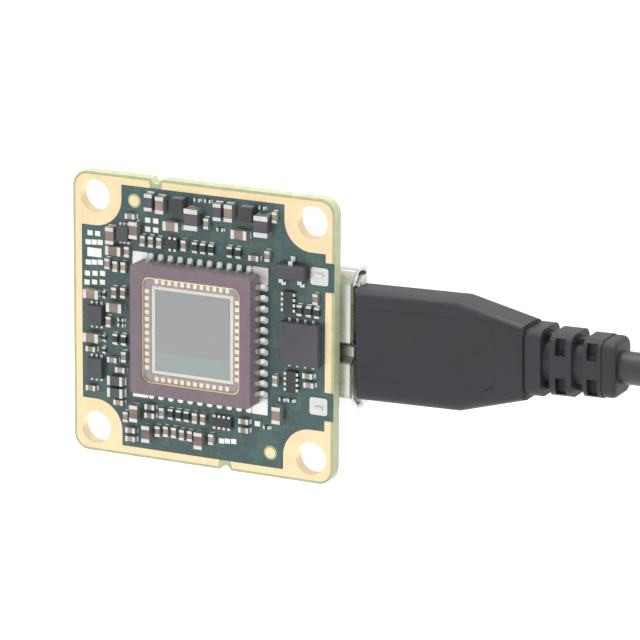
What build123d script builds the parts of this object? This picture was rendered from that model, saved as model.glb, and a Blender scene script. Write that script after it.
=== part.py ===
from build123d import *
import math
import os

os.makedirs("parts", exist_ok=True)

# A board-level USB machine vision camera with its cable plugged in, in millimetres.
# +X points to the cable connector, +Z is up, and the image sensor looks along -Y.
# The origin is the centre of the four mounting holes, on the board's front face.

# Circuit board
BOARD = 27.0
BOARD_T = 1.2
BOARD_R = 1.5
HOLE_EDGE = 2.3
HOLE_D = 3.1
BARREL_WALL = 0.06
PLATING_T = 0.05
MASK_T = 0.03
BARE_EDGE = 0.25
RING_W = 0.66
CORNER_PAD_R = 2.8
NOTCH_W = 1.15
NOTCH_BOTTOM_W = 0.45
NOTCH_DEPTH = 0.48
TOP_NOTCH_X = -4.8
BOTTOM_NOTCH_X = 2.4
NOTCH_RELIEF = 0.4
RING_GAP_UP = (4.8, 7.6)
RING_GAP_DOWN = (-7.4, -4.65)
FIDUCIAL_D = 1.0
FIDUCIAL_CLEAR = 0.18
FIDUCIALS = ((-7.06, 11.18), (7.07, -11.2))

# Soldered lands and test pads on the front: (x, z, width, height)
PAD_T = 0.06
TEST_PAD = (0.55, 0.48)
TEST_PADS = (
    (-11.7, 7.62), (-10.9, 7.63), (-11.9, 6.72), (-11.28, 6.77), (-10.64, 6.82),
    (-11.9, 4.78), (-11.28, 4.84), (-10.64, 4.9), (-12.0, 3.7), (-11.2, 3.78),
    (-10.4, 3.86), (-12.05, 2.83), (-11.25, 2.92), (-10.42, 3.01), (-5.64, 9.52),
    (-4.8, 9.52), (-5.64, 8.66), (-4.8, 8.66), (5.75, -8.55), (2.05, -10.72),
    (2.65, -10.66), (3.3, -10.6),
)
THERMAL_PAD = (-11.25, 5.79, 1.5, 0.85)

# Image sensor package
SENSOR_X = -0.22
SENSOR_Z = -0.44
SENSOR_W = 12.4
SENSOR_TOP = 2.15
SENSOR_R = 0.35
LAND_Z = -0.16
LAND_REACH = 7.02
LAND_W = 0.56
LAND_IN = 0.9
LAND_PITCH = 1.016
LANDS_PER_SIDE = 11
CORNER_LAND = 1.6
CASTELLATION_W = 0.46
CASTELLATION_DEPTH = 0.14
CASTELLATION_H = 1.1
FILLET_W = 0.42
FILLET_REACH = 0.5
GLASS_W = 9.9
GLASS_T = 0.15
GLASS_R = 0.7
GLASS_DEPTH = 0.2
SEAL_W = 0.15
LEDGE_W = 9.8
LEDGE_DROP = 0.08
PIT_W = 8.56
PIT_DEPTH = 0.75
DIE_W = 8.42
DIE_T = 0.6
DIE_FRAME_W = 0.3
DIE_FRAME_T = 0.03
BOND_PITCH = 0.665
BONDS_PER_SIDE = 12
BOND_PAD = (0.42, 0.36)
BOND_PAD_T = 0.02

# Chip parts: length, width, height, end cap length. They lie along X or stand along Z.
CHIP_0603 = (1.6, 0.85, 0.8, 0.35)
CHIP_0402 = (1.0, 0.5, 0.5, 0.25)
RESISTOR_0402 = (1.0, 0.5, 0.35, 0.2)
RESISTOR_0201 = (0.6, 0.32, 0.26, 0.15)
TANTALUM = (2.0, 1.4, 1.0, 0.45)
FILTER_0603 = (1.6, 0.8, 0.75, 0.33)
FILTER_FLAT = (1.6, 0.9, 0.6, 0.3)
BODY_SHRINK = 0.04
SOLDER_REACH = 0.14
LARGE_CAPS_UP = (
    (-4.07, 11.23), (-9.3, 7.74), (-6.82, 8.54), (3.01, 11.28), (7.98, -7.3),
    (-6.85, -9.12), (-5.58, -10.95), (-0.08, -10.85),
)
LARGE_CAPS_ACROSS = (
    (-2.91, 9.37), (-8.93, 6.34), (4.11, 9.39), (-11.32, 1.9), (-8.87, 0.87), (-11.35, -2.33),
)
SMALL_CAPS_UP = (
    (-7.66, 6.33), (-6.0, 7.58), (-5.14, 7.58), (-4.28, 7.58), (-1.73, 7.62), (0.6, 9.97),
    (7.58, 11.35), (6.87, 7.63), (7.72, -4.08), (1.12, -10.61), (-0.57, -8.79), (0.27, -8.79),
    (-4.04, -8.75), (-7.86, -9.64), (-4.47, -10.6), (-3.61, -10.5), (-2.77, -10.5),
    (-1.93, -10.6), (-1.09, -10.6), (-9.02, 2.26), (-8.08, 2.34), (-9.71, 4.96),
    (-8.87, 4.8), (-8.03, 4.8), (-9.61, -0.63), (-8.02, -3.84), (11.76, 4.15),
)
SMALL_CAPS_ACROSS = (
    (-7.3, 9.76), (5.48, 7.28), (11.03, -3.2), (11.15, -4.06), (4.49, -8.42), (4.49, -9.26),
    (-5.3, -8.34), (-5.31, -9.17), (-8.6, -8.34), (-7.35, -10.89), (-7.35, -11.72),
    (-11.52, -3.5), (-11.54, -7.3), (-9.25, -4.28), (-8.4, -5.16),
)
RESISTORS_UP = (
    (-0.65, 7.54), (0.2, 7.54), (1.05, 7.54), (2.94, 7.54), (3.84, 7.54), (10.1, 2.88),
    (11.03, 2.88), (11.85, 2.85), (-3.17, -8.78), (-2.33, -8.78), (-1.5, -8.78),
    (-8.98, -2.24), (-8.09, -2.24),
)
SMALL_RESISTORS_UP = ((-10.2, 1.9), (-10.2, -3.5), (-10.2, -2.3))
SMALL_RESISTORS_ACROSS = (
    (-0.45, 12.03), (0.65, 12.05), (1.92, 9.5), (6.2, 12.05), (-8.43, -0.35), (-8.43, -0.87),
    (8.35, -5.85), (9.25, -5.85), (6.75, -8.75),
)
TANTALUMS_UP = ((-0.73, 10.3), (6.43, 10.46))
FILTERS_UP = ((-5.27, 11.35), (1.85, 11.24))
FILTERS_ACROSS = ((-8.9, -6.25), (-8.9, -7.42))
INDUCTORS = ((-2.21, 11.4), (4.87, 11.4))
INDUCTOR = (1.35, 1.5, 1.0)
INDUCTOR_END_T = 0.05

# Resistor arrays: (x, z), terminals on the long sides
ARRAY_UP = (1.0, 2.0, 0.4)
ARRAYS_UP = ((8.98, 3.53), (9.33, -3.99))
ARRAY_ACROSS = (2.0, 0.9, 0.4)
ARRAYS_ACROSS = ((2.19, -8.86), (-2.92, 7.6))
ARRAY_SHORT = 1.0
ARRAY_PITCH = 0.5
ARRAY_TERMINAL = (0.22, 0.28)

# Packaged chips on the front: width, height, thickness
MEMORY = (3.9, 4.0, 0.8)
MEMORY_AT = (10.23, -0.28)
MEMORY_PITCH = 0.8
POWER_IC = (1.5, 1.95, 0.65)
POWER_ICS = ((-11.01, -0.18), (-11.05, -5.3))
SUPERVISOR = (1.25, 1.4, 0.65)
SUPERVISOR_AT = (-8.05, 8.0)
IC_PITCH = 0.5
IC_LEAD = (0.26, 0.3, 0.12)
TRANSISTOR = (2.9, 1.3, 1.0)
TRANSISTOR_AT = (9.35, 6.45)
TRANSISTOR_LEAD = (0.44, 0.5, 0.14)
TRANSISTOR_STANDOFF = 0.08
TRANSISTOR_PITCH = 1.9
CHIP_EDGE_R = 0.06

# Cable receptacle on the back of the board
MOUTH_REACH = 1.0
SHELL_DEPTH = 5.0
OPENING_W = 12.3
OPENING_H = 1.95
OPENING_R = 0.4
OPENING_CUT = 0.9
KEY_Z = -1.2
KEY_W = 2.3
KEY_TIP_W = 1.2
KEY_DEPTH = 0.85
SHELL_WALL = 0.3
FLARE = 0.28
FLARE_L = 0.4
RECEPTACLE_Z = 0.1
BLOCK_L = 1.5
TONGUE_T = 0.5
TONGUE_SHORT = 0.9
WIDE_TONGUE = (2.9, 4.4)
NARROW_TONGUE = (-3.9, 2.4)
CONTACT_PITCH = 0.65
CONTACT_W = 0.3
CONTACT_T = 0.1
TAIL_L = 0.7
LEG_X_BACK = 2.5
LEG_W = 0.8
LEG_SLOT_GAP = 0.15
LEG_PROUD = 0.2
ANCHOR_PAD = (1.8, 1.65)
ANCHOR_T = 0.12

# Cable plug
PLUG_TILT = 1.5
NOSE_IN = 3.3
NOSE_GAP = 0.12
NOSE_WALL = 0.25
PLUG_STANDOFF = 0.85
TONGUE_GAP = 0.15
OVERMOLD_L = 16.9
OVERMOLD_H = 10.36
OVERMOLD_END_H = 7.0
OVERMOLD_KINK = 10.4
OVERMOLD_T = 5.2
OVERMOLD_FRONT_R = 0.9
OVERMOLD_BACK_R = 2.3
SHANK_L = 3.0
SHANK_H = 9.0
SHANK_T = 1.4
PANEL_L = 14.15
PANEL_H = 6.6
PANEL_R = 1.1
PANEL_DEPTH = 0.2
PANEL_LEDGE = 0.4
PANEL_RISE = 0.45

# Strain relief: each ring's start along the plug, its height and its thickness
RELIEF_COLLAR = (1.5, 6.2, 4.7)
RELIEF_RINGS = ((2.35, 2.08, 5.75, 4.5), (5.5, 1.75, 5.4, 4.3))
RELIEF_END = (7.3, 1.25, 5.25, 4.2)
RELIEF_CORE_D = 3.9
RELIEF_R = 1.1
WINDOW_L = 1.0
WINDOW_H = 1.55
WINDOW_RIM = 0.3
WINDOW_DEPTH = 0.75
RELIEF_RIB_W = 1.2

# Cable, its coil and the host plug on its far end
CABLE_D = 3.0
COIL_R = 17.8
COIL_LAYER = 3.1
COIL_X = 80.5
COIL_Z = -32.0
COIL_SLACK = 0.1
COIL_EDGE_R = 1.3
TIE_T = 0.9
TIE_ARC = 26
TIE_AT = 40
TAIL_POINTS = ((-20.9, -9.0), (-20.6, -21.5), (-19.6, -33.0))
HOST_OVERMOLD = (15.8, 8.0, 20.0)
HOST_OVERMOLD_R = 1.4
HOST_RELIEF_L = 8.0
HOST_RELIEF_D = 6.4
HOST_SHELL = (12.0, 4.5, 18.75)
HOST_SHELL_WALL = 0.32
HOST_SHELL_R = 0.4
HOST_BLOCK_T = 1.95
HOST_SHANK = (10.0, 3.0, 4.0)
HOST_CONTACT = (1.0, 0.08, 7.0)
HOST_CONTACT_PITCH = 2.5

# Parts on the back of the board: width, height, thickness
PROCESSOR = (8.0, 8.0, 1.0)
PROCESSOR_AT = (-6.6, -1.0)
BRIDGE = (8.0, 8.0, 1.0)
BRIDGE_AT = (3.0, -1.0)
BALL_D = 0.5
BALL_H = 0.35
BALL_PITCH = 1.3
BALLS = 6
FLASH = (5.0, 6.0, 0.8)
FLASH_AT = (-6.0, 8.2)
FLASH_PITCH = 1.27
OSCILLATOR = (3.2, 2.5, 0.9)
OSCILLATOR_AT = (1.4, 6.4)
REGULATOR = (3.0, 3.0, 0.85)
REGULATORS = ((5.6, 8.4), (5.6, -8.8))
SOCKET = (9.0, 3.6, 1.6)
SOCKET_AT = (-2.6, -9.8)
SOCKET_PITCH = 0.8
SOCKET_WAYS = 10
SOCKET_SLOT = (7.6, 1.0, 1.2)
LED = (1.6, 0.8, 0.6)
LED_AT = (10.6, 7.6)
REAR_CAPS_UP = (
    (-11.6, 6.0), (-11.6, -1.0), (-11.6, -3.0), (1.6, 9.6), (3.0, 9.6), (8.2, 7.9),
    (3.0, -8.6), (8.2, -8.9),
)
REAR_CAPS_ACROSS = ((-6.4, 4.0), (-3.9, 4.0), (-10.1, 4.0), (3.0, 4.2), (6.0, 4.2), (-0.8, 9.4))
REAR_RESISTORS_UP = (
    (-11.8, 2.6), (-11.8, 1.1), (-1.6, 1.6), (-1.6, 0.2), (-1.6, -1.2), (-1.6, -2.6),
    (8.0, 1.2), (8.0, -0.4), (8.0, -2.0), (-8.2, -9.2), (-8.9, 3.0), (4.2, -6.8),
)

# Worked out from the sizes above
HALF = BOARD / 2
HOLE_SPACING = BOARD - 2 * HOLE_EDGE
HOLE_AT = HOLE_SPACING / 2
RING_IN = BARE_EDGE + RING_W
CORNER_PAD = HOLE_EDGE + CORNER_PAD_R
SEAT = MASK_T
BACK = BOARD_T + MASK_T
LAND_TOP = SEAT + PAD_T
MOUTH_X = HALF + MOUTH_REACH
MATE_Y = BACK + SHELL_WALL + OPENING_H / 2
LEG_X = MOUTH_X - LEG_X_BACK
LEG_Z = OPENING_W / 2 + SHELL_WALL / 2
ANCHOR_Z = LEG_Z - 0.15
SHELL_BACK = MOUTH_X - SHELL_DEPTH
RELIEF_END_X = RELIEF_END[0] + RELIEF_END[1]


def slab(sketch, y_from, y_to):
    """Extrudes an XZ outline from one depth to another."""
    return extrude(Plane.XZ.offset(-y_from) * sketch, amount=y_to - y_from, dir=(0, 1, 0))


def prism(sketch, x_from, x_to):
    """Extrudes a YZ section from one place along X to another."""
    return extrude(Plane.YZ.offset(x_from) * sketch, amount=x_to - x_from, dir=(1, 0, 0))


def brick(x, z, width, height, y_from, y_to):
    """A box on the board, between two depths."""
    return Pos(x, (y_from + y_to) / 2, z) * Box(width, abs(y_to - y_from), height)


def front(x, z, size, seat=SEAT):
    """A box that stands on the front of the board: size is width, height, thickness."""
    return brick(x, z, size[0], size[1], -seat, -seat - size[2])


def rear(x, z, size, seat=BACK):
    """A box that stands on the back of the board."""
    return brick(x, z, size[0], size[1], seat, seat + size[2])


def softened(solid, radius=CHIP_EDGE_R):
    """Breaks the edges of a moulded body."""
    return fillet(solid.edges(), radius)


def save(name, pieces):
    """Writes one node: a single solid, or a group of separate ones."""
    group = []
    for piece in pieces if isinstance(pieces, (list, tuple)) else [pieces]:
        group += piece.solids()
    export_step(Compound(children=group) if len(group) > 1 else group[0], f"parts/{name}.step")


# Circuit board: laminate with four plated holes, two notches and the receptacle's leg slots
def notch(x, side, width, bottom, depth):
    """A notch in the top (side 1) or bottom (side -1) edge."""
    edge = side * (HALF + 0.01)
    deep = side * (HALF - depth)
    return Polygon(
        (x - width / 2, edge), (x - bottom / 2, deep), (x + bottom / 2, deep), (x + width / 2, edge),
        align=None,
    )


def at_holes(shape):
    return [Pos(i * HOLE_AT, j * HOLE_AT) * shape for i in (-1, 1) for j in (-1, 1)]


def at_legs(width, height):
    return [Pos(LEG_X, RECEPTACLE_Z + j * LEG_Z) * Rectangle(width, height) for j in (-1, 1)]


NOTCHES = ((TOP_NOTCH_X, 1), (BOTTOM_NOTCH_X, -1))
square = RectangleRounded(BOARD, BOARD, BOARD_R)
notches = Sketch() + [notch(x, s, NOTCH_W, NOTCH_BOTTOM_W, NOTCH_DEPTH) for x, s in NOTCHES]
drills = Sketch() + at_holes(Circle(HOLE_D / 2 + BARREL_WALL))
leg_slots = Sketch() + at_legs(LEG_W + 2 * LEG_SLOT_GAP, SHELL_WALL + 2 * LEG_SLOT_GAP)
save("circuit_board", slab(square - notches - drills - leg_slots, 0, BOARD_T))

# Gold ground ring with a land round each hole, on both faces, and the plated hole walls
rim = RectangleRounded(BOARD - 2 * BARE_EDGE, BOARD - 2 * BARE_EDGE, BOARD_R - BARE_EDGE)
well = Rectangle(BOARD - 2 * RING_IN, BOARD - 2 * RING_IN)
land = RectangleRounded(2 * CORNER_PAD_R, 2 * CORNER_PAD_R, CORNER_PAD_R - 0.001)
corner_block = Rectangle(CORNER_PAD, CORNER_PAD)


def corner_land(i, j):
    """The land of one hole: square to the outline, round towards the middle."""
    at = Pos(i * HOLE_AT, j * HOLE_AT)
    side = HALF - HOLE_AT
    arms = Pos(i * (HALF - CORNER_PAD / 2), j * (HALF - side / 2)) * Rectangle(CORNER_PAD, side)
    arms += Pos(i * (HALF - side / 2), j * (HALF - CORNER_PAD / 2)) * Rectangle(side, CORNER_PAD)
    return (arms + at * Circle(CORNER_PAD_R)) & rim


ring = rim - well
ring += [corner_land(i, j) for i in (-1, 1) for j in (-1, 1)]
ring -= [notch(x, s, NOTCH_W + NOTCH_RELIEF, NOTCH_W, RING_IN + 0.02) for x, s in NOTCHES]
bored = Sketch() + at_holes(Circle(HOLE_D / 2))
ring -= bored
gaps = [
    Pos(HALF - RING_IN / 2, (low + high) / 2) * Rectangle(RING_IN + 0.02, high - low)
    for low, high in (RING_GAP_UP, RING_GAP_DOWN)
]
save("front_ground_ring", slab(ring - gaps, 0, -PLATING_T))
under_shell = RING_GAP_UP[1] - RING_GAP_DOWN[0]
cleared = Rectangle(RING_IN + 0.02, under_shell)
cleared = Pos(HALF - RING_IN / 2, RING_GAP_UP[1] - under_shell / 2) * cleared
save("rear_ground_ring", slab(ring - cleared, BOARD_T, BOARD_T + PLATING_T))
barrel = Circle(HOLE_D / 2 + BARREL_WALL) - Circle(HOLE_D / 2)
save("hole_plating", [slab(s, 0, BOARD_T) for s in at_holes(barrel)])

# Solder mask films and the two camera alignment marks
film = Rectangle(BOARD - 2 * RING_IN, BOARD - 2 * RING_IN)
film -= [corner_land(i, j) for i in (-1, 1) for j in (-1, 1)]
rear_film = film - leg_slots
edge_w = RING_IN - 0.04
film += [
    Pos(HALF - RING_IN + edge_w / 2, (low + high) / 2) * Rectangle(edge_w, high - low - 0.1)
    for low, high in (RING_GAP_UP, RING_GAP_DOWN)
]
marks = [Pos(x, z) * Circle(FIDUCIAL_D / 2 + FIDUCIAL_CLEAR) for x, z in FIDUCIALS]
anchor_pads = [
    Pos(LEG_X, RECEPTACLE_Z + j * ANCHOR_Z) * RectangleRounded(*ANCHOR_PAD, 0.25) for j in (-1, 1)
]
save("front_solder_mask", slab(film - marks - anchor_pads, 0, -MASK_T))
save("rear_solder_mask", slab(rear_film, BOARD_T, BACK))
save("fiducial_marks", [slab(Pos(x, z) * Circle(FIDUCIAL_D / 2), 0, -PLATING_T) for x, z in FIDUCIALS])

# Bare test pads, tinned
pads = [front(x, z, (*TEST_PAD, PAD_T)) for x, z in TEST_PADS]
pads.append(front(*THERMAL_PAD[:2], (*THERMAL_PAD[2:], PAD_T)))
save("test_pads", pads)


# Image sensor: lands, ceramic package, soldered terminals, chip, bond pads and window
def sides(shape):
    """Turns a shape made for the +X side of the sensor to all four sides."""
    centre = Pos(SENSOR_X, 0, SENSOR_Z)
    return [centre * Rot(0, 90 * k, 0) * shape for k in range(4)]


def row(shape, count, pitch):
    """Repeats a shape along Z, about the middle of a side."""
    return [Pos(0, 0, (k - (count - 1) / 2) * pitch) * shape for k in range(count)]


def each_side(shape, count, pitch):
    return [s for one in row(shape, count, pitch) for s in sides(one)]


land_in = SENSOR_W / 2 - LAND_IN
land_strip = slab(
    Pos((land_in + LAND_REACH) / 2, 0)
    * RectangleRounded(LAND_REACH - land_in, LAND_W, LAND_W / 2 - 0.08),
    -SEAT, -LAND_TOP,
)
corner_at = LAND_REACH - CORNER_LAND / 2
lands = each_side(land_strip, LANDS_PER_SIDE, LAND_PITCH)
lands += sides(brick(corner_at, corner_at, CORNER_LAND, CORNER_LAND, -SEAT, -LAND_TOP))
save("sensor_lands", [Pos(0, 0, LAND_Z) * one for one in lands])

sensor_face = Pos(SENSOR_X, SENSOR_Z)
shelf_y = SENSOR_TOP - GLASS_DEPTH - GLASS_T
ledge_y = shelf_y - LEDGE_DROP
pit_y = ledge_y - PIT_DEPTH
window_w = GLASS_W + 2 * SEAL_W
window = sensor_face * RectangleRounded(window_w, window_w, GLASS_R + SEAL_W)
glass_face = sensor_face * RectangleRounded(GLASS_W, GLASS_W, GLASS_R)
package = slab(sensor_face * RectangleRounded(SENSOR_W, SENSOR_W, SENSOR_R), -LAND_TOP, -SENSOR_TOP)
package -= slab(window, -shelf_y, -SENSOR_TOP - 1)
package -= slab(sensor_face * RectangleRounded(LEDGE_W, LEDGE_W, GLASS_R), -ledge_y, -SENSOR_TOP)
package -= slab(sensor_face * Rectangle(PIT_W, PIT_W), -pit_y, -SENSOR_TOP)
slot = brick(
    SENSOR_W / 2, 0, 2 * CASTELLATION_DEPTH, CASTELLATION_W, -LAND_TOP, -LAND_TOP - CASTELLATION_H
)
package -= each_side(slot, LANDS_PER_SIDE, LAND_PITCH)
save("sensor_package", package)

foot = SENSOR_W / 2 - CASTELLATION_DEPTH
wetted = LAND_TOP + CASTELLATION_H
fillet_side = Polygon(
    (foot, -LAND_TOP), (foot, -wetted), (foot + 0.6 * CASTELLATION_DEPTH, -wetted),
    (foot + 0.2, -0.6), (foot + 0.32, -0.32), (foot + FILLET_REACH, -0.17),
    (foot + FILLET_REACH + 0.16, -LAND_TOP),
    align=None,
)
joint = extrude(Plane.XY * fillet_side, amount=FILLET_W / 2, both=True)
save("sensor_terminals", each_side(joint, LANDS_PER_SIDE, LAND_PITCH))

die_top = pit_y + DIE_T
die_face = sensor_face * Rectangle(DIE_W, DIE_W)
inner = DIE_W - 2 * DIE_FRAME_W
save("sensor_die", slab(die_face, -pit_y, -die_top))
save("die_frame", slab(die_face - sensor_face * Rectangle(inner, inner), -die_top, -die_top - DIE_FRAME_T))
bond_x = LEDGE_W / 2 - BOND_PAD[0] / 2 - 0.02
bond_pad = brick(bond_x, 0, BOND_PAD[0], BOND_PAD[1], -ledge_y, -ledge_y - BOND_PAD_T)
save("sensor_bond_pads", each_side(bond_pad, BONDS_PER_SIDE, BOND_PITCH))
save("sensor_glass", slab(glass_face, -shelf_y, -shelf_y - GLASS_T))
save("sensor_seal", slab(window - glass_face, -shelf_y, -shelf_y - GLASS_T))


# Chip parts: a body between two wrapped metal ends, with a solder fillet at each end
def chip(size, upright, x, z, seat=SEAT, side=-1):
    """The body, the ends and the fillets of one chip; side -1 is the front, 1 the back."""
    length, width, height, cap = size
    turn = Rot(0, 90, 0) if upright else Rot(0, 0, 0)
    place = Pos(x, side * seat, z) * turn
    body_l = length - 2 * cap
    body = place * Pos(0, side * height / 2, 0) * Box(body_l, height - BODY_SHRINK, width - BODY_SHRINK)
    ends = []
    fillets = []
    for end in (-1, 1):
        middle = end * (length - cap) / 2
        ends.append(place * Pos(middle, side * height / 2, 0) * Box(cap, height, width))
        tip = end * length / 2
        wedge = Polygon(
            (tip, 0), (tip, side * height * 0.6), (tip + end * SOLDER_REACH / 2, side * height * 0.2),
            (tip + end * SOLDER_REACH, side * 0.04), (tip + end * SOLDER_REACH, 0),
            align=None,
        )
        fillets.append(place * extrude(wedge, amount=width * 0.45, both=True))
    return body, ends, fillets


solder = []


def chips(name, groups, seat=SEAT, side=-1):
    """Saves the bodies of a kind of chip, keeps its fillets and returns its ends."""
    bodies = []
    ends = []
    for size, upright, places in groups:
        for x, z in places:
            body, caps, joints = chip(size, upright, x, z, seat, side)
            bodies.append(body)
            ends.extend(caps)
            solder.extend(joints)
    save(name, bodies)
    return ends


capacitor_ends = chips(
    "large_capacitors", [(CHIP_0603, True, LARGE_CAPS_UP), (CHIP_0603, False, LARGE_CAPS_ACROSS)]
)
capacitor_ends += chips(
    "small_capacitors", [(CHIP_0402, True, SMALL_CAPS_UP), (CHIP_0402, False, SMALL_CAPS_ACROSS)]
)
save("capacitor_ends", capacitor_ends)
resistor_ends = chips(
    "chip_resistors",
    [
        (RESISTOR_0402, True, RESISTORS_UP),
        (RESISTOR_0201, True, SMALL_RESISTORS_UP),
        (RESISTOR_0201, False, SMALL_RESISTORS_ACROSS),
    ],
)
power_ends = chips(
    "power_chips",
    [(TANTALUM, True, TANTALUMS_UP), (FILTER_0603, True, FILTERS_UP), (FILTER_FLAT, False, FILTERS_ACROSS)],
)

# Power inductors: square black bodies with a silver land at top and bottom
inductor_h = INDUCTOR[1] - 2 * INDUCTOR_END_T
inductor_end = (INDUCTOR[1] - INDUCTOR_END_T) / 2
save("inductors", [softened(front(x, z, (INDUCTOR[0], inductor_h, INDUCTOR[2]))) for x, z in INDUCTORS])
power_ends += [
    front(x, z + j * inductor_end, (INDUCTOR[0] * 0.8, INDUCTOR_END_T, INDUCTOR[2] * 0.7))
    for x, z in INDUCTORS for j in (-1, 1)
]
save("power_chip_ends", power_ends)

# Resistor arrays: flat bodies with four or two terminals along each long side
array_bodies = []
array_ends = []
for x, z in ARRAYS_UP:
    array_bodies.append(front(x, z, ARRAY_UP))
    for k in range(4):
        for j in (-1, 1):
            at = (x + j * (ARRAY_UP[0] + ARRAY_TERMINAL[0]) / 2, z + (k - 1.5) * ARRAY_PITCH)
            array_ends.append(front(*at, (*ARRAY_TERMINAL, ARRAY_UP[2])))
for (x, z), count in zip(ARRAYS_ACROSS, (4, 2)):
    length = ARRAY_ACROSS[0] if count == 4 else ARRAY_SHORT
    array_bodies.append(front(x, z, (length, ARRAY_ACROSS[1], ARRAY_ACROSS[2])))
    for k in range(count):
        for j in (-1, 1):
            at = (x + (k - (count - 1) / 2) * ARRAY_PITCH, z + j * (ARRAY_ACROSS[1] + ARRAY_TERMINAL[0]) / 2)
            array_ends.append(front(*at, (ARRAY_TERMINAL[1], ARRAY_TERMINAL[0], ARRAY_ACROSS[2])))
save("resistor_arrays", array_bodies)
save("resistor_ends", resistor_ends + array_ends)


# Packaged chips with a row of leads above and below the body
def leads(x, z, body, count, pitch, lead=IC_LEAD, seat=SEAT, side=-1):
    """Flat leads that stand out of the top and bottom edges of a body."""
    stand = front if side < 0 else rear
    out = (body[1] + lead[1]) / 2
    return [
        stand(x + (k - (count - 1) / 2) * pitch, z + j * out, lead, seat)
        for k in range(count) for j in (-1, 1)
    ]


save("memory_chip", softened(front(*MEMORY_AT, MEMORY)))
small_chips = [softened(front(x, z, POWER_IC)) for x, z in POWER_ICS]
small_chips.append(softened(front(*SUPERVISOR_AT, SUPERVISOR)))
save("power_ics", small_chips)
chip_leads = leads(*MEMORY_AT, MEMORY, 4, MEMORY_PITCH)
chip_leads += leads(*SUPERVISOR_AT, SUPERVISOR, 3, IC_PITCH * 0.8)
for x, z in POWER_ICS:
    chip_leads += leads(x, z, POWER_IC, 3, IC_PITCH)

raised = SEAT + TRANSISTOR_STANDOFF
body = front(*TRANSISTOR_AT, TRANSISTOR, raised)
body = chamfer(body.faces().sort_by(Axis.Y)[0].edges(), 0.12)
save("transistor", body)


def gull_lead(x, z, out):
    """A bent lead that leaves the body half way up and steps down to the board."""
    width, reach, thick = TRANSISTOR_LEAD
    exit_y = SEAT + TRANSISTOR_STANDOFF + TRANSISTOR[2] / 2
    root = z + out * TRANSISTOR[1] / 2
    knee = root + out * (reach / 2)
    arm = brick(x, (root + knee) / 2, width, abs(knee - root), -exit_y, -exit_y - thick)
    arm += brick(x, knee + out * thick / 2, width, thick, -SEAT, -exit_y - thick)
    return arm + brick(x, knee + out * reach / 2, width, reach, -SEAT, -SEAT - thick)


tx, tz = TRANSISTOR_AT
chip_leads.append(gull_lead(tx, tz, 1))
chip_leads += [gull_lead(tx + j * TRANSISTOR_PITCH / 2, tz, -1) for j in (-1, 1)]
save("front_chip_leads", chip_leads)

# Receptacle: folded steel shell with a keyed mouth, legs through the board, and its insulator
half_w = OPENING_W / 2
half_h = OPENING_H / 2
mouth = Polygon(
    (-half_h, OPENING_CUT - half_w), (-half_h, KEY_Z - KEY_W / 2),
    (-half_h + KEY_DEPTH, KEY_Z - KEY_TIP_W / 2), (-half_h + KEY_DEPTH, KEY_Z + KEY_TIP_W / 2),
    (-half_h, KEY_Z + KEY_W / 2), (-half_h, half_w - OPENING_CUT),
    (OPENING_CUT - half_h, half_w), (half_h, half_w), (half_h, -half_w),
    (OPENING_CUT - half_h, -half_w),
    align=None,
)
outer_corners = [v for v in mouth.vertices() if v.X > half_h - 0.01]
mouth = fillet(outer_corners, OPENING_R)
shell_face = offset(mouth, SHELL_WALL)
nose_face = offset(mouth, -NOSE_GAP)
nose_core = offset(mouth, -NOSE_GAP - NOSE_WALL)
at_mouth = Pos(MATE_Y, RECEPTACLE_Z)

shell = prism(at_mouth * shell_face, SHELL_BACK, MOUTH_X)
lip = loft(
    [
        Plane.YZ.offset(MOUTH_X) * at_mouth * shell_face.face(),
        Plane.YZ.offset(MOUTH_X + FLARE_L) * at_mouth * offset(mouth, SHELL_WALL + FLARE).face(),
    ]
)
bell = loft(
    [
        Plane.YZ.offset(MOUTH_X) * at_mouth * mouth.face(),
        Plane.YZ.offset(MOUTH_X + FLARE_L) * at_mouth * offset(mouth, FLARE).face(),
    ]
)
shell = shell + (lip - bell)
shell -= prism(at_mouth * mouth, SHELL_BACK, MOUTH_X)
legs = [slab(s, MATE_Y, -ANCHOR_T - LEG_PROUD) for s in at_legs(LEG_W, SHELL_WALL)]
shell += legs
save("receptacle_shell", shell)

save("anchor_solder", slab(Sketch() + anchor_pads - at_legs(LEG_W, SHELL_WALL), 0, -ANCHOR_T))

block = prism(at_mouth * mouth, SHELL_BACK, SHELL_BACK + BLOCK_L)
for z, width in (WIDE_TONGUE, NARROW_TONGUE):
    block += prism(
        at_mouth * Pos(0, z) * Rectangle(TONGUE_T, width), SHELL_BACK + BLOCK_L, MOUTH_X - TONGUE_SHORT
    )
save("receptacle_insulator", block)

TONGUES = ((WIDE_TONGUE[0], 5), (NARROW_TONGUE[0], 4))
ways = [
    RECEPTACLE_Z + z + (k - (count - 1) / 2) * CONTACT_PITCH for z, count in TONGUES for k in range(count)
]
tongue_y = MATE_Y + TONGUE_T / 2
tongue_l = MOUTH_X - TONGUE_SHORT - SHELL_BACK - BLOCK_L
tongue_x = SHELL_BACK + BLOCK_L + tongue_l / 2
strips = [brick(tongue_x, z, tongue_l * 0.9, CONTACT_W, tongue_y, tongue_y + CONTACT_T) for z in ways]
strips += [
    brick(SHELL_BACK - TAIL_L / 2, z, TAIL_L, CONTACT_W, BACK, BACK + 2 * CONTACT_T) for z in ways
]
save("receptacle_contacts", strips)

# Plug: steel nose, insulator, contacts and one-piece overmould with its strain relief
plug_at = Pos(MOUTH_X, MATE_Y, RECEPTACLE_Z) * Rot(0, -PLUG_TILT, 0)
body_x = PLUG_STANDOFF
nose = prism(nose_face - nose_core, -NOSE_IN, body_x)
save("plug_nose", plug_at * nose)

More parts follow.
